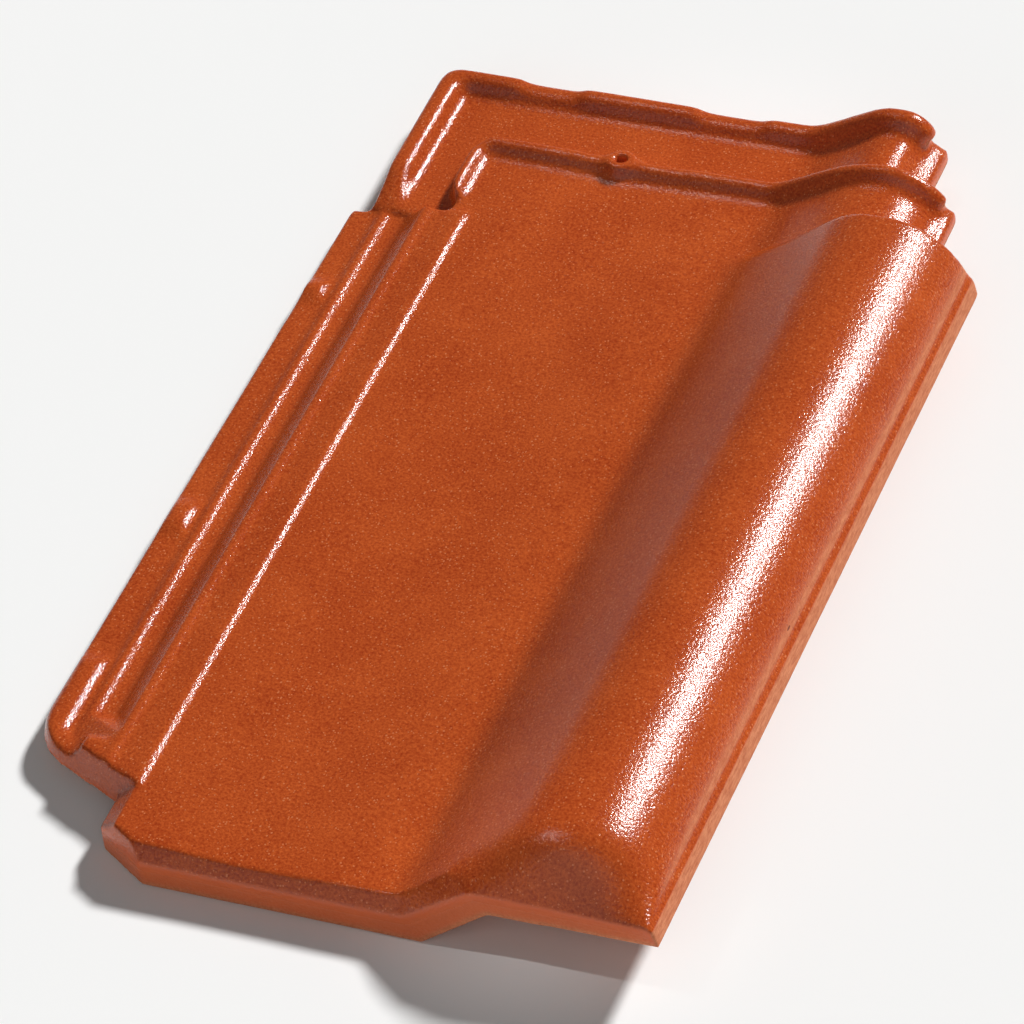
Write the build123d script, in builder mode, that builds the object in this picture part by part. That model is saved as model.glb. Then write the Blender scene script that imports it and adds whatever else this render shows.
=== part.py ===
from build123d import *
import math
import os

# Clay interlocking roof tile, one pressed and fired piece.
# It lies on a level floor: +Y runs up the slope to the head, the side lock is at -X and the roll at +X.
# All sizes are in millimetres, and heights are measured from the floor.
# A place is measured from the left edge or the front edge, one whose name ends in _in from the right edge,
# and one whose name ends in _back from the head.

# Overall size
width = 280.0
length = 469.0

# Laps over the next tile at the right and over the tile below
side_lap = 53.0
head_lap = 89.0
lap_gap = 0.5

# Pan
pan_edge = 46.0
pan_edge_top = 12.5
pan_left = 55.0
pan_left_top = 20.0
pan_right_top = 19.6
pan_dish = 1.3
pan_under = 8.0
body_thickness = 10.5

# Roll: an arc over the crest, a straight flank and a hollow arc at the foot of the flank
crest_top = 58.0
roll_radius = 39.3
roll_turn = 68.2
roll_side_in = 3.5
flank_angle = 36.2
foot_radius = 20.4
edge_step = 2.0
edge_drop = 1.4
edge_bottom = 24.0
edge_thickness = 12.0

# Front lip and nose
lip_face = 12.3
lip_depth = 11.0
lip_flank_gap = 15.0
lip_flank_run = 29.0
lip_roll_bottom = 22.5
lip_roll_face = 11.3
lip_lean = 6.5
bevel_slope = 1.75
nose_gap = 8.0
nose_start_depth = 5.2
nose_skew = 10.4
nose_start_share = 0.063
nose_turn_share = 0.346
nose_lift = 0.4
corner_across = 22.0
corner_along = 14.0
corner_bevel_slope = 5.0
lip_return = 19.0

# Side lock
lock_under = 7.0
flange_top = 12.0
flange_set = 0.7
flange_taper = 3.8
rib_1 = 18.5
rib_1_width = 0.8
rib_1_top = 13.9
rib_1_slope = 3.7
groove = 25.0
groove_floor = 12.1
groove_floor_width = 5.4
groove_floor_radius = 3.0
bead_left = 37.8
bead_width = 2.2
bead_top = 21.3
bead_slope = 2.2
shelf_left_top = 20.3
shelf_right = 55.0
shelf_right_top = 21.6
shelf_slope = 3.8
shelf_foot_top = 19.4
groove_front = 72.0
groove_end_slope = 60.0
border_back_left = 84.0
border_back_right = 54.0
border_slope = 60.0
wall_left = 26.0
wall_top = 20.8
wall_back = 52.0
wall_slope = 35.0
lock_front = 31.0
lock_front_angle = 25.0
lock_corner_radius = 28.0
lock_draft = 20.0
# Raised tabs that space the next tile: start and length of each
tabs = ((30.0, 73.0), (172.0, 24.0), (318.0, 17.0))
tab_bevel = 4.4
tab_top = 14.5
tab_shoulder = 10.2
tab_foot = 14.3
tab_end_slope = 74.0

# Head lock
head_under = 8.0
rim_left = 12.0
rim_left_width = 9.0
rim_top = 21.4
rim_width = 7.5
rim_slope = 4.5
rim_radius = 1.6
rim_foot_radius = 6.5
rim_left_slope = 3.5
rim_left_radius = 1.4
rim_left_foot_radius = 4.5
rim_foot_sink = 0.3
rim_corner_radius = 8.0
rim_end_run = 22.0
rim_recess_left = 47.5
rim_recess_left_length = 29.0
rim_recess_right_gap = 9.0
rim_recess_right_length = 32.0
rim_recess_depth = 2.2
rim_recess_slope = 3.5
channel_floor = 14.5
channel_under = 7.4
leg_left = 43.5
leg_width = 4.5
leg_rise = 5.4
leg_side_slope = 3.0
leg_radius = 1.5
leg_foot_radius = 4.0
leg_foot_sink = 0.3
leg_gap = 7.5
leg_slope = 6.0
inner_rib_back = 43.5
inner_rib_width = 5.5
inner_rib_slope = 4.0
inner_rib_rise = 6.0
inner_rib_radius = 1.8
inner_rib_foot_radius = 6.0
inner_rib_corner_radius = 13.0
foot_sink = 0.15

# Roll where it steps down under the next tile, at the lap and at the head
lap_crest_in = 53.0
lap_crest_top = 39.2
lap_left_radius = 46.0
lap_right_radius = 26.0
lap_flank_angle = 28.0
lap_turn = 47.0
lap_tail = 5.0
lap_edge_in = 24.0
lap_edge_top = 26.0
head_crest_in = 61.5
head_crest_top = 39.0
head_left_radius = 28.0
head_right_radius = 17.0
head_flank_angle = 28.7
head_turn = 72.0
head_edge_in = 42.0
head_edge_top = 20.0
step_foot_radius = 20.0
ledge_rise = 1.0
step_edge_thickness = 8.5
step_thickness = 9.0
riser_thickness = 9.0
# Shape of its underside, as shares of the run and the rise
step_under_shape = ((0.66, 0.60), (0.42, 0.13), (0.10, 0.0))
under_tangents = ((-0.5, 1), (-1, 0))

# Nail hole in its boss
nail_across = 108.8
nail_set = 2.5
nail_hole_radius = 2.5
boss_top = 25.0
boss_radius = 6.8
boss_draft = 3.5

# Hanging nibs
nib_spacing = 80.0
nib_width = 30.0
nib_face_back = 29.0
nib_bottom_length = 9.0
nib_root_length = 14.0

# Foot rib and tongue of the locks underneath
foot_width = 10.0
foot_side_gap = 7.0
tongue_width = 5.0
tongue_clearance = 1.5
tongue_slope = 2.5
tongue_end_gap = 5.0

# Overlap of joined volumes
bury = 2.0

# Places that follow from the sizes above
roll_side = width - roll_side_in
crest = roll_side - roll_radius * math.sin(math.radians(roll_turn))
cover_width = width - side_lap
cover_length = length - head_lap
head_start = cover_length - lap_gap
inner_rib_end = length - inner_rib_back
channel_drop = rim_top - channel_floor

os.makedirs("parts", exist_ok=True)


def station(along):
    """Cross-section plane at a distance from the front edge, measured from the left edge and the floor."""
    return Plane(origin=(-width / 2, along - length / 2, 0), x_dir=(1, 0, 0), z_dir=(0, -1, 0))


def plan(height):
    """Level plane at a height, measured from the left edge and the front edge."""
    return Plane(origin=(-width / 2, -length / 2, height))


def side_view(across):
    """Lengthwise plane at a place across, measured from the front edge and the floor."""
    return Plane(origin=(across - width / 2, -length / 2, 0), x_dir=(0, 1, 0), z_dir=(1, 0, 0))


def roll_curve(crest_place, foot_height, radii, angles, depth):
    """Foot, flank and crest of a roll, drawn at a depth below its surface.

    The radii are those of the foot, the crest to the left and the crest to the right, and the angles are
    those of the flank and of the turn on the right.
    """
    foot, left, right = radii
    slope, turn = angles
    sine = math.sin(math.radians(slope))
    cosine = math.cos(math.radians(slope))
    run = (crest_place[1] - foot_height - (foot + left) * (1 - cosine)) / sine
    start = crest_place[0] - (foot + left) * sine - run * cosine
    with BuildLine() as curve:
        foot_arc = JernArc((start, foot_height - depth), (1, 0), foot + depth, slope)
        flank = PolarLine(foot_arc @ 1, run, slope)
        left_arc = JernArc(flank @ 1, (cosine, sine), left - depth, -slope)
        JernArc(left_arc @ 1, (1, 0), right - depth, -turn)
    return curve.wire()


def main_roll(depth):
    """The roll of the tile, drawn at a depth below its surface."""
    radii = (foot_radius, roll_radius, roll_radius)
    return roll_curve((crest, crest_top), pan_right_top, radii, (flank_angle, roll_turn), depth)


roll_top = main_roll(0)
roll_under = main_roll(body_thickness)
pan_right = (roll_top @ 0).X
roll_side_top = (roll_top @ 1).Y
pan_middle = (pan_left + pan_right) / 2
pan_low = (pan_middle, (pan_left_top + pan_right_top) / 2 - pan_dish)
pan_start = (pan_left, pan_left_top)
level = ((1, 0), (1, 0))

# Panel: dished pan, S-shaped flank and roll, hollow underneath
with BuildPart() as panel:
    with BuildSketch(station(head_start)):
        with BuildLine():
            Spline(pan_start, pan_low, roll_top @ 0, tangents=level)
            add(roll_top)
            Polyline(
                roll_top @ 1,
                (roll_side + edge_step, roll_side_top - edge_drop),
                (width, edge_bottom),
                (width - edge_thickness, edge_bottom),
                roll_under @ 1,
            )
            add(roll_under)
            Polyline(
                roll_under @ 0,
                (pan_right - body_thickness, pan_under),
                (pan_edge, pan_under),
                (pan_edge, pan_edge_top),
                pan_start,
            )
        make_face()
    extrude(amount=head_start)
    # Lip that closes the front under the pan and the roll
    lip_flank_start = pan_right + lip_flank_gap
    lip_flank_end = lip_flank_start + lip_flank_run
    with BuildSketch(station(lip_depth)):
        with BuildLine():
            Spline(pan_start, pan_low, roll_top @ 0, tangents=level)
            add(roll_top)
            Polyline(
                roll_top @ 1,
                (roll_side + edge_step, roll_side_top - edge_drop),
                (width, edge_bottom),
                (lip_flank_end, lip_roll_bottom),
                (lip_flank_start, 0),
                (pan_edge, 0),
                (pan_edge, pan_edge_top),
                pan_start,
            )
        make_face()
    extrude(amount=lip_depth)
    # Lip turned back along the left edge of the pan
    with BuildSketch(plan(0)):
        with Locations((pan_edge, 0)):
            Rectangle(lip_depth, lip_return, align=(Align.MIN, Align.MIN))
    extrude(amount=pan_under + bury)
    # Bevel above the front face of the pan
    nose_start = pan_right + nose_gap
    bevel_points = [
        (-bury, lip_face - bury * bevel_slope),
        (crest_top / bevel_slope, lip_face + crest_top),
        (-bury, lip_face + crest_top),
    ]
    with BuildSketch(side_view(pan_edge)):
        with BuildLine():
            Polyline(*bevel_points, close=True)
        make_face()
    extrude(amount=nose_start - pan_edge, mode=Mode.SUBTRACT)
    # Slanted front left corner, with the bevel carried round it
    corner_length = math.hypot(corner_across, corner_along)
    corner_plane = Plane(
        origin=(pan_edge + corner_across - width / 2, -length / 2, 0),
        x_dir=(corner_along / corner_length, corner_across / corner_length, 0),
        z_dir=(corner_across / corner_length, -corner_along / corner_length, 0),
    )
    with BuildSketch(corner_plane):
        with BuildLine():
            Polyline(
                (0, -bury),
                (0, lip_face),
                (crest_top / corner_bevel_slope, lip_face + crest_top),
                (-corner_along, lip_face + crest_top),
                (-corner_along, -bury),
                close=True,
            )
        make_face()
    extrude(amount=2 * corner_length, both=True, mode=Mode.SUBTRACT)

# Nose: the front slopes down from the roll to a straight lip, on a skew line across the roll
skew_cos = math.cos(math.radians(nose_skew))
skew_sin = math.sin(math.radians(nose_skew))
nose_plane = Plane(
    origin=(nose_start - width / 2, nose_start_depth - length / 2, 0),
    x_dir=(skew_cos, skew_sin, 0),
    z_dir=(skew_sin, -skew_cos, 0),
)
nose_right = width + bury
nose_top = 2 * crest_top
lip_roll_top = lip_roll_bottom + lip_roll_face


def nose_line(start, end, steps):
    """Points of the skew line on the roll, between two shares of the roll's curve."""
    places = [roll_top @ (start + step * (end - start) / steps) for step in range(steps + 1)]
    return [((place.X - nose_start) / skew_cos, place.Y + nose_lift) for place in places]


with BuildPart() as nose:
    with BuildSketch(station(0)):
        with BuildLine():
            Polyline(
                (nose_start, lip_face),
                (lip_flank_end - lip_lean, lip_roll_top),
                (nose_right, lip_roll_top),
                (nose_right, nose_top),
                (nose_start, nose_top),
                close=True,
            )
        make_face()
    with BuildSketch(nose_plane):
        with BuildLine():
            flank_line = Spline(*nose_line(nose_start_share, nose_turn_share, 2))
            over_line = Spline(*nose_line(nose_turn_share, 1, 4))
            Polyline(
                over_line @ 1,
                ((nose_right - nose_start) / skew_cos, nose_top),
                ((flank_line @ 0).X, nose_top),
                flank_line @ 0,
            )
        make_face()
    loft(ruled=True)

rib_1_left = rib_1 - rib_1_width / 2
rib_1_right = rib_1 + rib_1_width / 2
bead_right = bead_left + bead_width
shelf_foot = shelf_right + shelf_slope

# Tabs on the flange, with long sloped ends
with BuildPart() as flange_tabs:
    with BuildSketch(station(head_start)):
        with BuildLine():
            Polyline(
                (0, lock_under),
                (0, flange_top),
                (tab_bevel, tab_top),
                (tab_shoulder, tab_top),
                (tab_foot, flange_top),
                (tab_foot, lock_under),
                close=True,
            )
        make_face()
    extrude(amount=head_start)
    tab_height = tab_top - flange_top + bury
    tab_run = tab_height * math.tan(math.radians(tab_end_slope))
    with BuildSketch(plan(flange_top - bury)):
        for tab_start, tab_length in tabs:
            with Locations((tab_foot / 2, tab_start + tab_length / 2)):
                Rectangle(tab_foot + 3 * tab_run, tab_length + tab_run)
    extrude(amount=tab_height, taper=tab_end_slope, mode=Mode.INTERSECT)

# Groove between the first rib and the bead, with a sloped end at the front
groove_half = groove_floor_width / 2
with BuildPart() as groove_space:
    with BuildSketch(station(length)) as section:
        with BuildLine():
            Polyline(
                (rib_1_right, rib_1_top),
                (groove - groove_half, groove_floor),
                (groove + groove_half, groove_floor),
                (bead_left, bead_top),
                (bead_left, bead_top + bury),
                (rib_1_right, bead_top + bury),
                close=True,
            )
        make_face()
        floor_corners = section.vertices().sort_by(Axis.Y)[:2]
        fillet(floor_corners, groove_floor_radius)
    extrude(amount=length)
    with BuildSketch(plan(groove_floor)):
        with Locations((0, groove_front)):
            Rectangle(2 * width, length, align=(Align.CENTER, Align.MIN))
    extrude(amount=bead_top + bury - groove_floor, taper=-groove_end_slope, mode=Mode.INTERSECT)

# Front end of the lock: a low border beside the first tab and a wall in front of the groove
with BuildPart() as lock_end:
    border_height = rib_1_top - flange_top + bury
    border_run = border_height * math.tan(math.radians(border_slope))
    with BuildSketch(plan(flange_top - bury)):
        with BuildLine():
            Polyline(
                (tab_bevel - border_run, 0),
                (rib_1 + border_run, 0),
                (rib_1 + border_run, border_back_right),
                (tab_bevel - border_run, border_back_left),
                close=True,
            )
        make_face()
    extrude(amount=border_height, taper=border_slope)
    wall_height = wall_top - flange_top + bury
    wall_run = wall_height * math.tan(math.radians(wall_slope))
    with BuildSketch(plan(flange_top - bury)):
        with Locations(((wall_left + bead_right) / 2, 0)):
            Rectangle(bead_right - wall_left + 2 * wall_run, 2 * (wall_back + wall_run))
    extrude(amount=wall_height, taper=wall_slope)

# Side lock: flange, rib, groove, bead and a shelf beside the pan, closed at the front
lock_slant = math.tan(math.radians(lock_front_angle))
outline_right = shelf_foot + shelf_right_top
outline_left = flange_set - (flange_top - lock_under) * math.tan(math.radians(lock_draft))
with BuildPart() as side_lock:
    with BuildSketch(station(head_start)):
        with BuildLine():
            Polyline(
                (0, lock_under),
                (0, flange_top),
                (rib_1_left - rib_1_slope, flange_top),
                (rib_1_left, rib_1_top),
                (rib_1_right, rib_1_top),
                (bead_left, bead_top),
                (bead_right, bead_top),
                (bead_right + bead_slope, shelf_left_top),
                (shelf_right, shelf_right_top),
                (shelf_foot, shelf_foot_top),
                (shelf_foot, pan_under),
                (pan_edge, lock_under),
                close=True,
            )
        make_face()
    extrude(amount=head_start)
    add(groove_space.part, mode=Mode.SUBTRACT)
    add(flange_tabs.part)
    add(lock_end.part)
    with BuildSketch(plan(lock_under)) as outline:
        with BuildLine():
            Polyline(
                (outline_left, lock_front + (pan_edge - outline_left) * lock_slant),
                (outline_right, lock_front + (pan_edge - outline_right) * lock_slant),
                (outline_right, length),
                (outline_left + flange_taper, length),
                close=True,
            )
        make_face()
        corner = outline.vertices().sort_by(Axis.X)[0]
        fillet(corner, lock_corner_radius)
    extrude(amount=shelf_right_top, taper=lock_draft, mode=Mode.INTERSECT)

lap_crest = width - lap_crest_in
lap_edge = width - lap_edge_in
lap_edge_under = lap_edge_top - step_edge_thickness
head_crest = width - head_crest_in
head_edge = width - head_edge_in
head_edge_under = head_edge_top - step_edge_thickness
lap_radii = (step_foot_radius, lap_left_radius, lap_right_radius)
lap_top = roll_curve((lap_crest, lap_crest_top), pan_right_top, lap_radii, (lap_flank_angle, lap_turn), 0)
rim_radii = (step_foot_radius, head_left_radius, head_right_radius)
rim_angles = (head_flank_angle, head_turn)
rim_line = roll_curve((head_crest, head_crest_top), rim_top, rim_radii, rim_angles, 0)
floor_line = roll_curve((head_crest, head_crest_top), rim_top, rim_radii, rim_angles, channel_drop)


def step_under(top, edge, edge_under, pan_bottom):
    """Points of the underside of a stepped-down roll, from its right edge to the pan."""
    run = top[0] - pan_right
    rise = top[1] - step_thickness - pan_bottom
    flank = [(pan_right + x * run, pan_bottom + z * rise) for x, z in step_under_shape]
    return [(edge - step_edge_thickness - bury, edge_under), (top[0], top[1] - step_thickness), *flank]


def rib_section(plane, top_width, top, slope, foot, radius, hollow_radius):
    """Section of a head rib: upright outside, level top, slope and hollow foot inside."""
    with BuildSketch(plane) as section:
        with BuildLine():
            Polyline(
                (bury, foot - bury),
                (bury, top),
                (-top_width, top),
                (-top_width - slope, foot),
                (-top_width - slope - 2 * hollow_radius, foot),
                (-top_width - slope - 2 * hollow_radius, foot - bury),
                close=True,
            )
        make_face()
        inside = section.vertices().filter_by(lambda corner: -top_width - slope <= corner.X < 0)
        arris, hollow = inside.sort_by(Axis.Y)[-1], inside.sort_by(Axis.Y)[0]
        fillet(arris, radius)
        fillet(hollow, hollow_radius)
    return section.sketch.face()


def along_rib(across, along, height):
    """Plane at the start of a rib that runs across the head, seen along the rib."""
    origin = (across - width / 2, along - length / 2, height)
    return Plane(origin=origin, x_dir=(0, 1, 0), z_dir=(1, 0, 0))


def along_leg(across, along, height):
    """Plane at the start of a rib that runs up the head, seen along the rib."""
    origin = (across - width / 2, along - length / 2, height)
    return Plane(origin=origin, x_dir=(-1, 0, 0), z_dir=(0, 1, 0))


# Lap under the next tile, with the inner rib over pan and roll and its leg at the left
leg_start = head_start + leg_gap
inner_rib_shape = (
    inner_rib_rise,
    inner_rib_slope,
    -foot_sink,
    inner_rib_radius,
    inner_rib_foot_radius,
)
leg_shape = (leg_rise, leg_side_slope, -leg_foot_sink, leg_radius, leg_foot_radius)
lap_under_points = step_under((lap_crest, lap_crest_top), lap_edge, lap_edge_under, head_under)
with BuildPart() as lap:
    with BuildSketch(station(inner_rib_end)):
        with BuildLine():
            Polyline((leg_left, head_under), (leg_left, pan_left_top), pan_start)
            Spline(pan_start, pan_low, roll_top @ 0, tangents=level)
            Line(roll_top @ 0, lap_top @ 0)
            add(lap_top)
            lap_under = Spline(*lap_under_points, tangents=under_tangents)
            Polyline(
                lap_top @ 1,
                ((lap_top @ 1).X + bury, lap_edge_top + ledge_rise),
                (lap_edge, lap_edge_top),
                (lap_edge, lap_edge_under),
                lap_under @ 0,
            )
            Line(lap_under @ 1, (leg_left, head_under))
        make_face()
    extrude(amount=inner_rib_end - head_start)
    with BuildLine(mode=Mode.PRIVATE) as rib_path:
        Line((leg_left - 2 * bury, pan_left_top), pan_start)
        Spline(pan_start, pan_low, roll_top @ 0, tangents=level)
        Line(roll_top @ 0, lap_top @ 0)
        add(lap_top)
        PolarLine(lap_top @ 1, lap_tail, -lap_turn)
    rib_start = along_rib(leg_left - 2 * bury, inner_rib_end, pan_left_top)
    rib_line = station(inner_rib_end).from_local_coords(rib_path.wire())
    sweep(rib_section(rib_start, inner_rib_width, *inner_rib_shape), path=rib_line)
    leg_plane = along_leg(leg_left, leg_start, pan_left_top)
    leg_length = inner_rib_end + bury - leg_start
    extrude(rib_section(leg_plane, leg_width, *leg_shape), amount=leg_length)
    with BuildSketch(plan(0)) as outline:
        with BuildLine():
            Polyline(
                (leg_left + leg_width, head_start),
                (leg_left + leg_width, leg_start),
                (leg_left, leg_start + leg_slope),
                (leg_left, inner_rib_end),
                (width, inner_rib_end),
                (width, head_start),
                close=True,
            )
        make_face()
        corner = outline.vertices().sort_by(Axis.Y)[-2:].sort_by(Axis.X)[0]
        fillet(corner, inner_rib_corner_radius)
    extrude(amount=crest_top, mode=Mode.INTERSECT)
    # Riser that closes the head end of the main roll down to the lap
    with BuildSketch(station(head_start)):
        with BuildLine():
            add(roll_top)
            lap_under = Spline(*lap_under_points, tangents=under_tangents)
            Polyline(
                roll_top @ 1,
                (roll_side + edge_step, roll_side_top - edge_drop),
                (width, edge_bottom),
                (lap_edge, edge_bottom),
                (lap_edge, lap_edge_under),
                lap_under @ 0,
            )
            Polyline(lap_under @ 1, (pan_right, head_under), roll_top @ 0)
        make_face()
    extrude(amount=riser_thickness)

# Head channel and its outer rim
rim_shape = (0, rim_slope, -channel_drop - foot_sink, rim_radius, rim_foot_radius)
rim_leg_shape = (
    0,
    rim_left_slope,
    -channel_drop - rim_foot_sink,
    rim_left_radius,
    rim_left_foot_radius,
)
floor_crest = (head_crest, head_crest_top - channel_drop)
head_under_points = step_under(floor_crest, head_edge, head_edge_under, channel_under)
with BuildPart() as head:
    with BuildSketch(station(length)):
        with BuildLine():
            Polyline((rim_left, channel_under), (rim_left, channel_floor), floor_line @ 0)
            add(floor_line)
            head_under_line = Spline(*head_under_points, tangents=under_tangents)
            Polyline(
                floor_line @ 1,
                ((rim_line @ 1).X, head_edge_top + ledge_rise),
                (head_edge, head_edge_top),
                (head_edge, head_edge_under),
                head_under_line @ 0,
            )
            Line(head_under_line @ 1, (rim_left, channel_under))
        make_face()
    extrude(amount=inner_rib_back + inner_rib_width / 2)
    with BuildSketch(plan(channel_under)):
        with Locations((rim_left, head_start)):
            Rectangle(leg_left + leg_width - rim_left, head_lap + lap_gap, align=(Align.MIN, Align.MIN))
    extrude(amount=channel_floor - channel_under)
    with BuildLine(mode=Mode.PRIVATE) as rim_path:
        Line((rim_left - bury, rim_top), rim_line @ 0)
        add(rim_line)
    rim_start = along_rib(rim_left - bury, length, rim_top)
    rim_way = station(length).from_local_coords(rim_path.wire())
    sweep(rib_section(rim_start, rim_width, *rim_shape), path=rim_way)
    rim_leg_plane = along_leg(rim_left, head_start, rim_top)
    extrude(rib_section(rim_leg_plane, rim_left_width, *rim_leg_shape), amount=head_lap + lap_gap + bury)
    # Sloped front end of the rim
    with BuildSketch(side_view(rim_left - bury)):
        with BuildLine():
            Polyline(
                (head_start - bury, channel_floor),
                (head_start, channel_floor),
                (head_start + rim_end_run, rim_top + foot_sink),
                (head_start + rim_end_run, rim_top + bury),
                (head_start - bury, rim_top + bury),
                close=True,
            )
        make_face()
    extrude(amount=leg_left - rim_left, mode=Mode.SUBTRACT)
    with BuildSketch(plan(0)) as outline:
        with BuildLine():
            Polyline(
                (rim_left, head_start),
                (rim_left, length),
                (width, length),
                (width, head_start),
                close=True,
            )
        make_face()
        corner = outline.vertices().sort_by(Axis.Y)[-2:].sort_by(Axis.X)[0]
        fillet(corner, rim_corner_radius)
    extrude(amount=crest_top, mode=Mode.INTERSECT)

# Tongue under the roll edge that drops into the groove of the next side lock
tongue = groove + cover_width
tongue_bottom = groove_floor + tongue_clearance
tongue_foot = tongue_width + 2 * tongue_slope
with BuildPart() as tongue_bar:
    with BuildSketch(station(head_start - tongue_end_gap)):
        with BuildLine():
            Polyline(
                (tongue - tongue_width / 2, tongue_bottom),
                (tongue + tongue_width / 2, tongue_bottom),
                (tongue + tongue_foot / 2, edge_bottom),
                (tongue + tongue_foot / 2, crest_top),
                (tongue - tongue_foot / 2, crest_top),
                (tongue - tongue_foot / 2, edge_bottom),
                close=True,
            )
        make_face()
    extrude(amount=head_start - groove_front - 2 * tongue_end_gap)
    # It ends inside the wall of the roll
    roll_middle = main_roll(body_thickness / 2)
    with BuildSketch(station(head_start)):
        with BuildLine():
            add(roll_middle)
            Polyline(
                roll_middle @ 1,
                (width - edge_thickness / 2, edge_bottom),
                (width - edge_thickness / 2, 0),
                (pan_right, 0),
                roll_middle @ 0,
            )
        make_face()
    extrude(amount=head_start, mode=Mode.INTERSECT)

# The whole tile
with BuildPart() as roof_tile:
    add(panel.part)
    add(nose.part, mode=Mode.SUBTRACT)
    add(side_lock.part)
    add(lap.part)
    add(head.part)
    add(tongue_bar.part)
    # Low places in the outer rim
    rim_recess_right = pan_right - rim_recess_right_gap - rim_recess_right_length
    rim_recesses = [
        (rim_recess_left, rim_recess_left + rim_recess_left_length),
        (rim_recess_right, rim_recess_right + rim_recess_right_length),
    ]
    with BuildSketch(station(length)):
        for recess_start, recess_end in rim_recesses:
            with BuildLine():
                Polyline(
                    (recess_start - rim_recess_slope, rim_top + rim_recess_depth),
                    (recess_start + rim_recess_slope, rim_top - rim_recess_depth),
                    (recess_end - rim_recess_slope, rim_top - rim_recess_depth),
                    (recess_end + rim_recess_slope, rim_top + rim_recess_depth),
                    close=True,
                )
            make_face()
    extrude(amount=rim_width + rim_slope, mode=Mode.SUBTRACT)
    # Nail boss on the inner head rib and its hole
    nail_place = (nail_across - width / 2, inner_rib_end - nail_set - length / 2)
    with Locations((*nail_place, (boss_top + head_under) / 2)):
        Cone(boss_radius + boss_draft, boss_radius, boss_top - head_under)
    with Locations((*nail_place, boss_top)):
        Hole(nail_hole_radius)
    # Hanging nibs: upright face towards the front, sloped back
    nib_face = length - nib_face_back
    for nib_place in (pan_middle - nib_spacing / 2, pan_middle + nib_spacing / 2):
        with BuildSketch(side_view(nib_place)):
            with BuildLine():
                Polyline(
                    (nib_face, 0),
                    (nib_face + nib_bottom_length, 0),
                    (nib_face + nib_root_length, head_under + bury),
                    (nib_face, head_under + bury),
                    close=True,
                )
            make_face()
        extrude(amount=nib_width / 2, both=True)
    # Foot rib that drops into the head channel of the tile below
    foot_middle = (inner_rib_end + length - rim_width - rim_slope) / 2 - cover_length
    with BuildSketch(plan(0)):
        with Locations((pan_middle, foot_middle)):
            Rectangle(pan_right - pan_left - 2 * foot_side_gap, foot_width)
    extrude(amount=pan_under + bury)

roof_tile.part.label = "roof_tile"
export_step(roof_tile.part, "parts/roof_tile.step")
box = roof_tile.part.bounding_box()
print("roof_tile", len(roof_tile.part.solids()), roof_tile.part.is_valid, round(roof_tile.part.volume), box)
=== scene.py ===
# %% [markdown]
# # A clay roof tile
# The tile is one piece of clay. It was pressed between two moulds, trimmed, dried, sprayed with a thin
# coloured slip called engobe, and fired. The solid model already holds its forms at their real size, so
# this lesson keeps that shape, softens it the way wet clay comes out of a mould, and then works on the
# surface.

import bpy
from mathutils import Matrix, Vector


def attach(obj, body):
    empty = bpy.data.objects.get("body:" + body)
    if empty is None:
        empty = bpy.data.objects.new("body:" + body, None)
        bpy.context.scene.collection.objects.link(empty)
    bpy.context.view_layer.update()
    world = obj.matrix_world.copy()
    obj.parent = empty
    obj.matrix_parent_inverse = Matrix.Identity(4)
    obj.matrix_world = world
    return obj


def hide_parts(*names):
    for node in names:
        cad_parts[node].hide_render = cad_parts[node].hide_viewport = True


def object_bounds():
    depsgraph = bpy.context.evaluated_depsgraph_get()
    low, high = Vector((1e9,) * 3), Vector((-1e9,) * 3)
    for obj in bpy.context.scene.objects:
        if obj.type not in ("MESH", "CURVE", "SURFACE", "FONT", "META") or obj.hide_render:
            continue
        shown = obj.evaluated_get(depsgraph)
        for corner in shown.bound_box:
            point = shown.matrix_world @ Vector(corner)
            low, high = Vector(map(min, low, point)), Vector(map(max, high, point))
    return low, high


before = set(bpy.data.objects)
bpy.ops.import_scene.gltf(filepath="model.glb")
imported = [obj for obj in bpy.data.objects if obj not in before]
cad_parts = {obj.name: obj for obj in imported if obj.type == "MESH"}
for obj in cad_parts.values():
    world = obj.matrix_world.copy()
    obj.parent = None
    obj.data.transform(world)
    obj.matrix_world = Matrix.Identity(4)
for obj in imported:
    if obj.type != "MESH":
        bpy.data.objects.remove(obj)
cad_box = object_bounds()
print("packed tile from", tuple(cad_box[0]), "to", tuple(cad_box[1]))

# %% [markdown]
# ## The skin of the pressed body
# A mould never gives a knife edge: the clay rounds itself over every arris and fills every inner corner.
# Bevelling each edge by hand would need a radius for hundreds of edges that meet at odd angles. A voxel
# remesh gives the whole body one even skin of small squares instead, and an even skin can be rubbed soft
# anywhere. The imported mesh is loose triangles, so a copy of it is welded into a closed shell first.

# %% Weld a copy of the tile
import bmesh
import bpy

MM = 0.001
WELD_MM = 0.01

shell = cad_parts["roof_tile"].data.copy()
shell.materials.clear()
weld = bmesh.new()
weld.from_mesh(shell)
bmesh.ops.remove_doubles(weld, verts=weld.verts, dist=WELD_MM * MM)
weld.to_mesh(shell)
weld.free()
print("welded shell has", len(shell.vertices), "points")

# %% Remesh it to an even skin
SKIN_MM = 1.0


def bake_modifiers(piece):
    """Turns a piece and its modifiers into a plain mesh."""
    depsgraph = bpy.context.evaluated_depsgraph_get()
    shaped = bpy.data.meshes.new_from_object(piece.evaluated_get(depsgraph))
    piece.modifiers.clear()
    piece.data = shaped


body = bpy.data.objects.new("roof_tile_body", shell)
bpy.context.scene.collection.objects.link(body)
remesh = body.modifiers.new("skin", "REMESH")
remesh.mode = "VOXEL"
remesh.voxel_size = SKIN_MM * MM
bake_modifiers(body)
print("even skin has", len(body.data.polygons), "faces")

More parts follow.
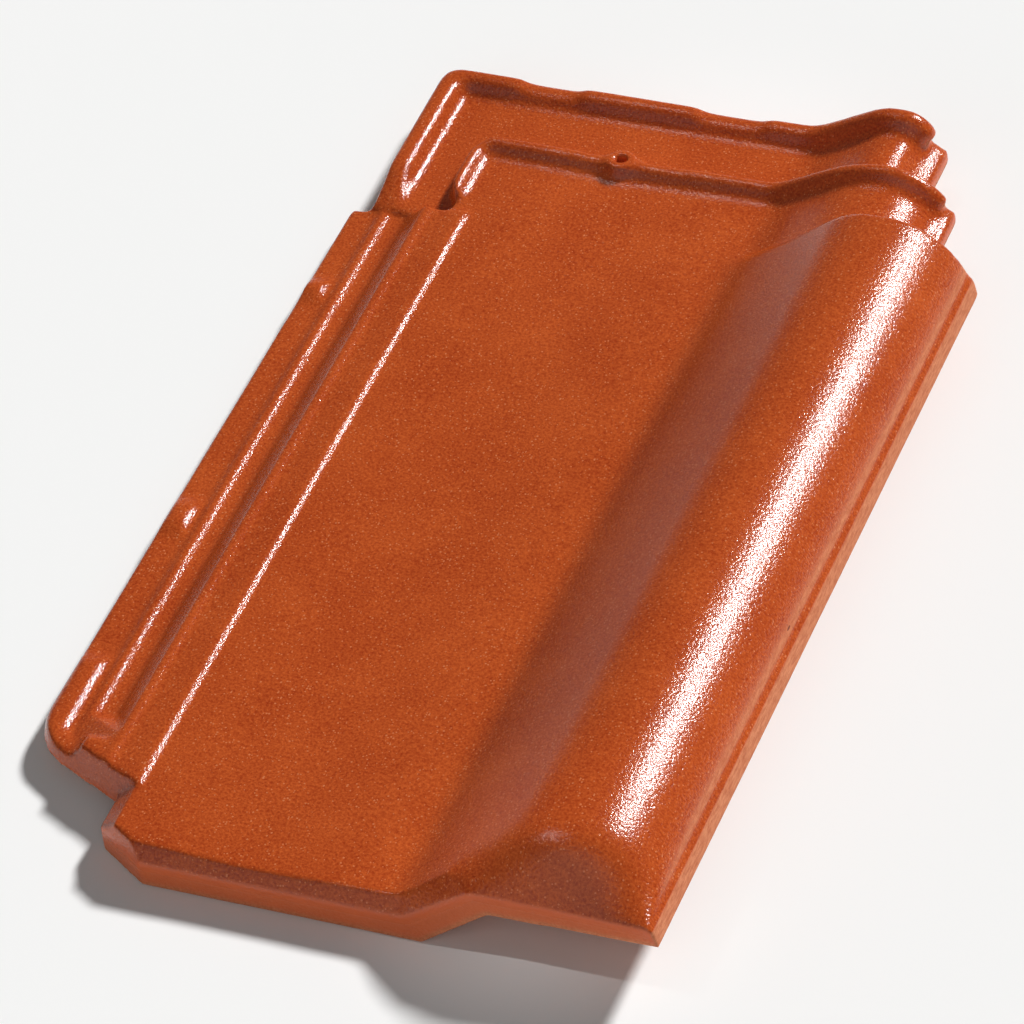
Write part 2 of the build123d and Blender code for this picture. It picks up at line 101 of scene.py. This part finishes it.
# %% [markdown]
# ## How soft each region is
# The pan and the grooves came out of the mould fairly crisp, and the flange at the left edge a little less
# so. The ribs at the head are soft, the roll is softer still where it steps down to them, and the nose at
# its front, where the clay had to flow furthest, is rounded like a worn step. The nail hole stays crisp.
# One smoothing strength for the whole tile would lose either the grooves or the nose, so every point of
# the skin gets its own number of smoothing rounds, from its place on the tile. Places are in millimetres
# from the left edge, the front edge and the floor. A region has no hard border: each of its borders is a
# pair of limits, and the smoothing changes gently from one to the other.

# %% Measure the place of every point
import numpy as np

points = np.empty(len(body.data.vertices) * 3)
body.data.vertices.foreach_get("co", points)
points = points.reshape(-1, 3)
across, along, height = ((points - np.array(cad_box[0])) / MM).T
print("skin reaches", across.max(), "mm across,", along.max(), "mm along and", height.max(), "mm up")

# %% Soften the flange, the head and the step of the roll
MAIN_ROUNDS = 5
FLANGE_ROUNDS = 10
HEAD_ROUNDS = 48
STEP_ROUNDS = 70
FLANGE_END = (12, 16)
HEAD_START = (374, 392)
STEP_FRONT, STEP_BACK = (352, 368), (388, 402)
STEP_LEFT, STEP_RIGHT = (158, 172), (200, 228)


def ramp(value, limits):
    """Rises smoothly from 0 at the first limit to 1 at the second."""
    start, end = limits
    share = np.clip((value - start) / (end - start), 0, 1)
    return share * share * (3 - 2 * share)


def band(value, rise, fall):
    """Rises from 0 to 1 between the first pair of limits and falls again between the second pair."""
    return ramp(value, rise) * (1 - ramp(value, fall))


def blend(start, end, share):
    """Goes from the start to the end as the share goes from 0 to 1."""
    return start + (end - start) * share


rounds = blend(MAIN_ROUNDS, FLANGE_ROUNDS, 1 - ramp(across, FLANGE_END))
rounds = blend(rounds, HEAD_ROUNDS, ramp(along, HEAD_START))
near_step = band(along, STEP_FRONT, STEP_BACK) * band(across, STEP_LEFT, STEP_RIGHT)
rounds = blend(rounds, STEP_ROUNDS, near_step)
print("smoothing rounds from", rounds.min(), "to", rounds.max())

# %% Keep the nail hole crisp
HOLE_ACROSS = 108.8
HOLE_ALONG = 423.0
HOLE_CRISP = (4, 10)

from_hole = np.hypot(across - HOLE_ACROSS, along - HOLE_ALONG)
rounds = blend(MAIN_ROUNDS, rounds, ramp(from_hole, HOLE_CRISP))
print(np.count_nonzero(from_hole < HOLE_CRISP[1]), "points are kept crisper round the nail hole")

# %% Find the nose along its skew line
NOSE_ROUNDS = 400
NOSE_CORNER_ACROSS = 171.0
NOSE_CORNER_ALONG = 5.2
NOSE_SKEW = 0.1835
NOSE_REACH = (10, 34)
NOSE_LEFT, NOSE_RIGHT = (165, 190), (268, 278)
NOSE_FOOT = (33, 42)

nose_line = NOSE_CORNER_ALONG + NOSE_SKEW * (across - NOSE_CORNER_ACROSS)
near_nose = 1 - ramp(np.abs(along - nose_line), NOSE_REACH)
near_nose *= band(across, NOSE_LEFT, NOSE_RIGHT) * ramp(height, NOSE_FOOT)
at_nose = np.flatnonzero(near_nose > 0)
print(len(at_nose), "points are at the nose and get up to", NOSE_ROUNDS, "rounds more")

# %% [markdown]
# ## Rubbing the skin
# On the real tile the flow of wet clay does this. Here a round of rubbing moves a point half of the way to
# the middle of its neighbours. A point with a smaller number takes shorter steps instead of fewer rounds,
# so no seam shows between regions. A Smooth modifier with a vertex group could do it too, but it would
# take the many rounds of the nose over the whole tile, so a few lines on arrays do it here. The rubbed
# faces lie almost flat beside each other, so a Decimate modifier then keeps a quarter of the triangles.

# %% Rub the skin soft
FULL_STEP = 0.5

edges = np.empty(len(body.data.edges) * 2, dtype=np.int64)
body.data.edges.foreach_get("vertices", edges)
edges = edges.reshape(-1, 2)


def rub(chosen, own_rounds):
    """Smooths the chosen points, each by its own number of rounds."""
    number = np.full(len(points), -1)
    number[chosen] = np.arange(len(chosen))
    pairs = number[edges]
    pairs = pairs[(pairs >= 0).all(axis=1)]
    pairs = np.concatenate((pairs, pairs[:, ::-1]))
    neighbours = np.maximum(np.bincount(pairs[:, 0], minlength=len(chosen)), 1)[:, None]
    step = FULL_STEP * own_rounds[:, None] / own_rounds.max()
    spots = points[chosen]
    for _ in range(int(own_rounds.max())):
        sums = [np.bincount(pairs[:, 0], spots[pairs[:, 1], axis], len(chosen)) for axis in range(3)]
        spots = spots + step * (np.stack(sums, axis=1) / neighbours - spots)
    points[chosen] = spots


rub(np.arange(len(points)), rounds)
rub(at_nose, NOSE_ROUNDS * near_nose[at_nose])
body.data.vertices.foreach_set("co", points.ravel())
body.data.update()
print("rubbed skin from", points.min(axis=0), "to", points.max(axis=0))

# %% Thin the skin
KEPT_SHARE = 0.25

thin = body.modifiers.new("thin", "DECIMATE")
thin.ratio = KEPT_SHARE
bake_modifiers(body)
print("thinned skin has", len(body.data.polygons), "faces")

# %% [markdown]
# ## Drying and spraying
# Even a smooth tile is not flat: drying pulls the clay by a fraction of a millimetre, and the highlight on
# the roll wanders because of it. The engobe is sprayed from above, so faces that look down keep the bare
# colour of the clay, and so does the steep right edge of the roll, where the coat is wiped off when the
# edge is trimmed. Sculpting and painting by hand would do it once, for this mesh only. These are simple
# rules on the surface, so one small node tree does them: a slow noise moves the surface inwards, which
# keeps the outer size, and the coat and the steepness become attributes for the material.

# %% Name the sizes of the tree
TREE_SIZES = {
    "Wave depth": 0.3 * MM,
    "Wave length": 55.0 * MM,
    "Seed": 4.0,
    "Wiped from": 115.0 * MM,
    "Wiped by": 130.0 * MM,
}

surface = bpy.data.node_groups.new("drying_and_spraying", "GeometryNodeTree")
sockets = surface.interface
sockets.new_socket("Geometry", in_out="INPUT", socket_type="NodeSocketGeometry")
sockets.new_socket("Geometry", in_out="OUTPUT", socket_type="NodeSocketGeometry")
for size_name, size in TREE_SIZES.items():
    size_socket = sockets.new_socket(size_name, in_out="INPUT", socket_type="NodeSocketFloat")
    size_socket.default_value = size
sockets.new_socket("Material", in_out="INPUT", socket_type="NodeSocketMaterial")
print("tree has the inputs", list(TREE_SIZES))

# %% Let a slow wave move the surface inwards
WAVE_DETAIL = 1.0


def add_node(tree, kind, inputs=None, **settings):
    """Adds a node, sets its properties, and gives each input a value or the output that feeds it."""
    node = tree.nodes.new(kind)
    for key, value in settings.items():
        setattr(node, key, value)
    for socket, source in (inputs or {}).items():
        if isinstance(source, bpy.types.NodeSocket):
            tree.links.new(source, node.inputs[socket])
        else:
            node.inputs[socket].default_value = source
    return node


sizes = add_node(surface, "NodeGroupInput").outputs
per_metre = add_node(surface, "ShaderNodeMath", {0: 1.0, 1: sizes["Wave length"]}, operation="DIVIDE")
wave = add_node(
    surface,
    "ShaderNodeTexNoise",
    {"Scale": per_metre.outputs[0], "W": sizes["Seed"], "Detail": WAVE_DETAIL},
    noise_dimensions="4D",
)
depth = add_node(
    surface, "ShaderNodeMath", {0: wave.outputs[0], 1: sizes["Wave depth"]}, operation="MULTIPLY"
)
inwards = add_node(surface, "ShaderNodeMath", {0: depth.outputs[0], 1: -1.0}, operation="MULTIPLY")
normal = add_node(surface, "GeometryNodeInputNormal")
shift = add_node(
    surface,
    "ShaderNodeVectorMath",
    {0: normal.outputs[0], "Scale": inwards.outputs[0]},
    operation="SCALE",
)
print("wave takes", len(surface.nodes), "nodes")

# %% Work out where the coat lies
# A face leans as its normal does: X says how far it looks to the right, and Z how far it looks up.
WIPED_LEAN = (0.3, 0.6)
WIPED_LOSS = -0.5
COAT_EDGE = (-0.1, 0.04)
STEEP_LEAN = (0.45, 0.1)

lean = add_node(surface, "ShaderNodeSeparateXYZ", {0: normal.outputs[0]})
position = add_node(surface, "GeometryNodeInputPosition")
where = add_node(surface, "ShaderNodeSeparateXYZ", {0: position.outputs[0]})
wiped = add_node(
    surface,
    "ShaderNodeMapRange",
    {"Value": where.outputs["X"], "From Min": sizes["Wiped from"], "From Max": sizes["Wiped by"]},
    interpolation_type="SMOOTHSTEP",
)
sideways = add_node(
    surface,
    "ShaderNodeMapRange",
    {
        "Value": lean.outputs["X"],
        "From Min": WIPED_LEAN[0],
        "From Max": WIPED_LEAN[1],
        "To Max": WIPED_LOSS,
    },
)
facing = add_node(
    surface,
    "ShaderNodeMath",
    {0: wiped.outputs["Result"], 1: sideways.outputs["Result"], 2: lean.outputs["Z"]},
    operation="MULTIPLY_ADD",
)
coat = add_node(
    surface,
    "ShaderNodeMapRange",
    {"Value": facing.outputs[0], "From Min": COAT_EDGE[0], "From Max": COAT_EDGE[1]},
    interpolation_type="SMOOTHSTEP",
)
# Steepness: the material paints steep faces a lighter orange, as painted light for the front faces.
steep = add_node(
    surface,
    "ShaderNodeMapRange",
    {"Value": lean.outputs["Z"], "From Min": STEEP_LEAN[0], "From Max": STEEP_LEAN[1]},
)
print("wave and coat take", len(surface.nodes), "nodes")

# %% Store the coat and finish the tree
tile = sizes["Geometry"]
for attribute_name, amount in (("coat", coat), ("steep", steep)):
    stored = add_node(
        surface,
        "GeometryNodeStoreNamedAttribute",
        {"Geometry": tile, "Name": attribute_name, "Value": amount.outputs["Result"]},
        data_type="FLOAT",
        domain="POINT",
    )
    tile = stored.outputs[0]
moved = add_node(surface, "GeometryNodeSetPosition", {"Geometry": tile, "Offset": shift.outputs[0]})
realized = add_node(surface, "GeometryNodeRealizeInstances", {"Geometry": moved.outputs[0]})
painted = add_node(
    surface,
    "GeometryNodeSetMaterial",
    {"Geometry": realized.outputs[0], "Material": sizes["Material"]},
)
add_node(surface, "NodeGroupOutput", {"Geometry": painted.outputs[0]})
print("tree has", len(surface.nodes), "nodes")

# %% Apply the tree
# Sprayed engobe, fired to a satin coat: the eye gets a deep orange red whose highlight breaks into grains.
engobe = bpy.data.materials.new("fired_clay_sprayed_engobe")
dress = body.modifiers.new("drying_and_spraying", "NODES")
dress.node_group = surface
for item in sockets.items_tree:
    if item.in_out == "INPUT" and item.name == "Material":
        dress[item.identifier] = engobe
bake_modifiers(body)
body.data.shade_smooth()
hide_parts("roof_tile")
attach(body, "root")
body.data.calc_loop_triangles()
stored_names = [attribute.name for attribute in body.data.attributes]
print("tile has", len(body.data.loop_triangles), "triangles and", stored_names)

# %% [markdown]
# ## The slip
# The clay fires to an orange red. The engobe on it is a thin satin coat of fine clay and iron oxide with a
# little sand in it, which breaks a highlight into grains. A picture of it would have to be wrapped round
# every rib and groove. A noise fills space instead, and the tile is cut out of it with no seams. A slow
# noise makes the coat a little uneven, a fine one makes the grain, and together they pick the colour.

# %% Colour the slip
# The sand in a real slip is about 0.2 mm across. That is too fine to show in a picture of a whole tile, so
# the grain, the painted glints and the painted pit shade are drawn as coarse as they have to be to be
# seen.
CLOUD_MM = 30.0
CLOUD_DETAIL = 3.0
CLOUD_SHARE = 0.35
GRAIN_MM = 1.1
GRAIN_DETAIL = 2.0
GRAIN_ROUGHNESS = 0.6
SLIP_COLOURS = ((0.45, "#9C360E"), (0.92, "#C75B25"))


def linear(hex_colour):
    """An sRGB hex colour as linear red, green, blue and alpha."""
    parts = [int(hex_colour[i : i + 2], 16) / 255 for i in (1, 3, 5)]
    return [c / 12.92 if c <= 0.04045 else ((c + 0.055) / 1.055) ** 2.4 for c in parts] + [1.0]


engobe.use_nodes = True
recipe = engobe.node_tree
recipe.nodes.clear()
place = add_node(recipe, "ShaderNodeTexCoord").outputs["Object"]
cloud = add_node(
    recipe,
    "ShaderNodeTexNoise",
    {"Vector": place, "Scale": 1 / (CLOUD_MM * MM), "Detail": CLOUD_DETAIL},
)
grain = add_node(
    recipe,
    "ShaderNodeTexNoise",
    {
        "Vector": place,
        "Scale": 1 / (GRAIN_MM * MM),
        "Detail": GRAIN_DETAIL,
        "Roughness": GRAIN_ROUGHNESS,
    },
)
tone = add_node(
    recipe,
    "ShaderNodeMath",
    {0: cloud.outputs[0], 1: CLOUD_SHARE, 2: grain.outputs[0]},
    operation="MULTIPLY_ADD",
)
slip = add_node(recipe, "ShaderNodeValToRGB", {"Fac": tone.outputs[0]})
for stop, (stop_place, colour) in zip(slip.color_ramp.elements, SLIP_COLOURS):
    stop.position = stop_place
    stop.color = linear(colour)
print("slip goes from", SLIP_COLOURS[0][1], "to", SLIP_COLOURS[1][1])

# %% [markdown]
# ## Painted glints
# Grains of sand at the surface of the slip catch the lamps and glint. They are far too many to model, so
# their glints are painted as pale specks: a painted highlight. A Voronoi pattern parts space into cells,
# and each cell has a random number from 0 to 1. That number times a spread, plus an offset below 0, is the
# radius of the speck in the cell. In most cells it comes out below 0, and there is no speck.

# %% Scatter the painted glints
GLINT_MM = 1.1
GLINT_SPREAD = 1.3
GLINT_OFFSET = -0.88
# Painted highlight: the pale colour of a speck stands in for light glinting off a grain of sand.
PAINTED_GLINT_COLOUR = "#CC7245"

glint_cells = add_node(recipe, "ShaderNodeTexVoronoi", {"Vector": place, "Scale": 1 / (GLINT_MM * MM)})
glint_number = add_node(recipe, "ShaderNodeSeparateColor", {"Color": glint_cells.outputs["Color"]})
glint_radius = add_node(
    recipe,
    "ShaderNodeMath",
    {0: glint_number.outputs[0], 1: GLINT_SPREAD, 2: GLINT_OFFSET},
    operation="MULTIPLY_ADD",
)
is_painted_glint = add_node(
    recipe,
    "ShaderNodeMath",
    {0: glint_cells.outputs["Distance"], 1: glint_radius.outputs[0]},
    operation="LESS_THAN",
)
# The painted glints are mixed into the slip's colour.
slip_with_painted_glints = add_node(
    recipe,
    "ShaderNodeMix",
    {"Factor": is_painted_glint.outputs[0], "A": slip.outputs[0], "B": linear(PAINTED_GLINT_COLOUR)},
    data_type="RGBA",
)
print("slip with specks takes", len(recipe.nodes), "nodes")

# %% [markdown]
# ## Bare clay
# Where the coat is missing the clay shows paler, dry and pitted. Trimming drags the grains along the edge,
# so the pattern is stretched along the tile and the noise turns into streaks. The pits are not cut: the
# shade in them is painted as small dark spots, made in the same way as the painted glints, because cutting
# real ones would need a far finer mesh.

# %% Draw the bare clay
STRETCH = (1.0, 0.25, 1.0)
STREAK_DETAIL = 3.0
DRY_COLOURS = ((0.3, "#B8623A"), (0.7, "#D4855B"))
PIT_MM = 3.0
PIT_SPREAD = 0.9
PIT_OFFSET = -0.75
# Painted shade: the dark colour of a pit stands in for the shade that falls inside it.
PIT_SHADE_COLOUR = "#5A2412"

drag = add_node(recipe, "ShaderNodeMapping", {"Vector": place, "Scale": STRETCH})
streak = add_node(
    recipe,
    "ShaderNodeTexNoise",
    {"Vector": drag.outputs[0], "Scale": 1 / (GRAIN_MM * MM), "Detail": STREAK_DETAIL},
)
dry = add_node(recipe, "ShaderNodeValToRGB", {"Fac": streak.outputs[0]})
for stop, (stop_place, colour) in zip(dry.color_ramp.elements, DRY_COLOURS):
    stop.position = stop_place
    stop.color = linear(colour)
pit = add_node(recipe, "ShaderNodeTexVoronoi", {"Vector": drag.outputs[0], "Scale": 1 / (PIT_MM * MM)})
pit_number = add_node(recipe, "ShaderNodeSeparateColor", {"Color": pit.outputs["Color"]})
pit_radius = add_node(
    recipe,
    "ShaderNodeMath",
    {0: pit_number.outputs[1], 1: PIT_SPREAD, 2: PIT_OFFSET},
    operation="MULTIPLY_ADD",
)
is_shaded_pit = add_node(
    recipe,
    "ShaderNodeMath",
    {0: pit.outputs["Distance"], 1: pit_radius.outputs[0]},
    operation="LESS_THAN",
)
# The painted pit shade is mixed into the bare clay colour.
bare_clay_with_pit_shade = add_node(
    recipe,
    "ShaderNodeMix",
    {"Factor": is_shaded_pit.outputs[0], "A": dry.outputs[0], "B": linear(PIT_SHADE_COLOUR)},
    data_type="RGBA",
)
print("bare clay goes from", DRY_COLOURS[0][1], "to", DRY_COLOURS[1][1], "with pits of", PIT_SHADE_COLOUR)

# %% [markdown]
# ## Coat over clay
# Steep faces are painted an even, lighter orange. That is painted light: it stands in for the light that
# falls on the front faces. The two attributes that the tree stored choose between these colours, point by
# point, so there is no need for two materials and a hard line between them. The coat is glossy enough for
# a clear highlight and the bare clay is not. The grain also serves as a bump, which breaks the highlight
# up without a single added face.

# %% Join the coat and the clay
# Painted light: a lighter orange on steep faces stands in for the light that falls on the front faces.
STEEP_PAINTED_LIGHT_COLOUR = "#D2602F"
BARE_ROUGHNESS = 0.75
COAT_ROUGHNESS = 0.17
SPECULAR_LEVEL = 0.4
BUMP_STRENGTH = 0.78
BUMP_MM = 0.3

coat_here = add_node(recipe, "ShaderNodeAttribute", attribute_name="coat").outputs["Fac"]
steep_here = add_node(recipe, "ShaderNodeAttribute", attribute_name="steep").outputs["Fac"]
# Steep faces take the painted light colour over the slip.
coat_with_painted_light = add_node(
    recipe,
    "ShaderNodeMix",
    {"Factor": steep_here, "A": slip_with_painted_glints.outputs["Result"], "B": linear(STEEP_PAINTED_LIGHT_COLOUR)},
    data_type="RGBA",
)
clay = add_node(
    recipe,
    "ShaderNodeMix",
    {"Factor": coat_here, "A": bare_clay_with_pit_shade.outputs["Result"], "B": coat_with_painted_light.outputs["Result"]},
    data_type="RGBA",
)
gloss = add_node(
    recipe,
    "ShaderNodeMapRange",
    {"Value": coat_here, "To Min": BARE_ROUGHNESS, "To Max": COAT_ROUGHNESS},
)
bump = add_node(
    recipe,
    "ShaderNodeBump",
    {"Height": grain.outputs[0], "Strength": BUMP_STRENGTH, "Distance": BUMP_MM * MM},
)
shader = add_node(
    recipe,
    "ShaderNodeBsdfPrincipled",
    {
        "Base Color": clay.outputs["Result"],
        "Roughness": gloss.outputs[0],
        "Normal": bump.outputs[0],
        "Specular IOR Level": SPECULAR_LEVEL,
    },
)
add_node(recipe, "ShaderNodeOutputMaterial", {"Surface": shader.outputs[0]})
print("engobe has", len(recipe.nodes), "nodes")

# %% [markdown]
# ## Floor
# The tile lies on a pale floor that reaches past the edges of the picture. One large square is enough. It
# lies a hair under the tile, because two faces at the same height would show through each other.

# %% Lay the floor
FLOOR_HALF = 20.0
FLOOR_GAP_MM = 0.02
PAPER_COLOUR = "#F7F7F6"
PAPER_ROUGHNESS = 0.9

corners = ((-1, -1), (1, -1), (1, 1), (-1, 1))
floor_mesh = bpy.data.meshes.new("floor")
floor_mesh.from_pydata(
    [(x * FLOOR_HALF, y * FLOOR_HALF, -FLOOR_GAP_MM * MM) for x, y in corners],
    [],
    [(0, 1, 2, 3)],
)
floor = bpy.data.objects.new("floor", floor_mesh)
bpy.context.scene.collection.objects.link(floor)
# Uncoated matt paper: the eye gets an even pale ground with no gloss, on which the shadow stays.
paper = bpy.data.materials.new("matt_white_paper")
paper.use_nodes = True
paper_shader = paper.node_tree.nodes["Principled BSDF"]
paper_shader.inputs["Base Color"].default_value = linear(PAPER_COLOUR)
paper_shader.inputs["Roughness"].default_value = PAPER_ROUGHNESS
paper_shader.inputs["Specular IOR Level"].default_value = 0.0
floor_mesh.materials.append(paper)
print("floor is", 2 * FLOOR_HALF, "m wide")

# %% [markdown]
# ## Light
# One distant lamp behind the tile at the right makes the long highlight on the roll, and a very wide one
# in front opens the shaded front faces. Two lamps with narrow cones, which are called snoots, put small
# lights on the nose and on the ribs at the head. They could be area lamps, but those would also light the
# floor around the tile. A dim even sky does the rest.

# %% Hang the two suns
import math
from mathutils import Matrix, Vector

KEY_DEGREES = 8
FILL_DEGREES = 70


def add_lamp(name, kind, towards, strength, aim=(0, 0, 0), away=1.0):
    """A lamp that shines at a point from a direction. How far away a sun stands makes no difference."""
    lamp = bpy.data.lights.new(name, kind)
    lamp.energy = strength
    holder = bpy.data.objects.new(name, lamp)
    holder.location = Vector(aim) + Vector(towards).normalized() * away
    holder.rotation_euler = Vector(towards).to_track_quat("Z", "Y").to_euler()
    bpy.context.scene.collection.objects.link(holder)
    return lamp


key = add_lamp("key_back_right", "SUN", towards=(0.38, 0.66, 0.65), strength=3.85)
key.angle = math.radians(KEY_DEGREES)
fill = add_lamp("front_fill", "SUN", towards=(0.1, -0.9, 0.42), strength=0.6)
fill.angle = math.radians(FILL_DEGREES)
print("suns have the strengths", key.energy, "and", fill.energy)

# %% Aim the two snoots
SNOOT_AWAY = 1.5
SNOOT_RADIUS = 0.04
NOSE_CONE_DEGREES = 4
HEAD_CONE_DEGREES = 9

nose_snoot = add_lamp(
    "nose_snoot",
    "SPOT",
    towards=(-0.42, -0.1, 0.9),
    strength=28.0,
    aim=(0.06, -0.215, 0.05),
    away=SNOOT_AWAY,
)
head_snoot = add_lamp(
    "head_snoot",
    "SPOT",
    towards=(-0.33, 0.24, 0.91),
    strength=9.0,
    aim=(0.01, 0.185, 0.02),
    away=SNOOT_AWAY,
)
for snoot, cone_degrees in ((nose_snoot, NOSE_CONE_DEGREES), (head_snoot, HEAD_CONE_DEGREES)):
    snoot.spot_size = math.radians(cone_degrees)
    snoot.spot_blend = 1.0
    snoot.shadow_soft_size = SNOOT_RADIUS
print("snoots have", nose_snoot.energy, "and", head_snoot.energy, "watts")

# %% Add a dim sky
SKY_STRENGTH = 0.1

sky = bpy.data.worlds.new("studio")
sky.use_nodes = True
studio = sky.node_tree.nodes["Background"]
studio.inputs["Color"].default_value = (1, 1, 1, 1)
studio.inputs["Strength"].default_value = SKY_STRENGTH
bpy.context.scene.world = sky
bpy.context.scene.view_settings.view_transform = "Standard"
print("sky has the strength", SKY_STRENGTH)

# %% [markdown]
# ## Camera
# The tile is seen from the front right and from above, through a long lens from far off, which keeps its
# edges nearly parallel. A Track To constraint would aim the camera, but it holds the horizon level. This
# view is tipped a little to one side, so the three axes of the camera are worked out from its angles.

# %% Place the camera
AIM = Vector((0.00013, -0.02187, 0.020))
DISTANCE = 2.73582
AZIMUTH = math.radians(26.278)
ELEVATION = math.radians(42.226)
ROLL = math.radians(-7.867)
LENS_MM = 243.526
SENSOR_MM = 36.0
CLIP_END = 100.0

back = Vector(
    (
        math.sin(AZIMUTH) * math.cos(ELEVATION),
        -math.cos(AZIMUTH) * math.cos(ELEVATION),
        math.sin(ELEVATION),
    )
)
level_right = Vector((0, 0, 1)).cross(back).normalized()
right = Matrix.Rotation(ROLL, 3, back) @ level_right
up = back.cross(right)
turn = Matrix((right, up, back)).transposed().to_4x4()
lens = bpy.data.cameras.new("camera")
lens.lens = LENS_MM
lens.sensor_width = SENSOR_MM
lens.clip_end = CLIP_END
camera = bpy.data.objects.new("camera", lens)
camera.matrix_world = Matrix.Translation(AIM + back * DISTANCE) @ turn
bpy.context.scene.collection.objects.link(camera)
bpy.context.scene.camera = camera
print("camera at", tuple(camera.location))
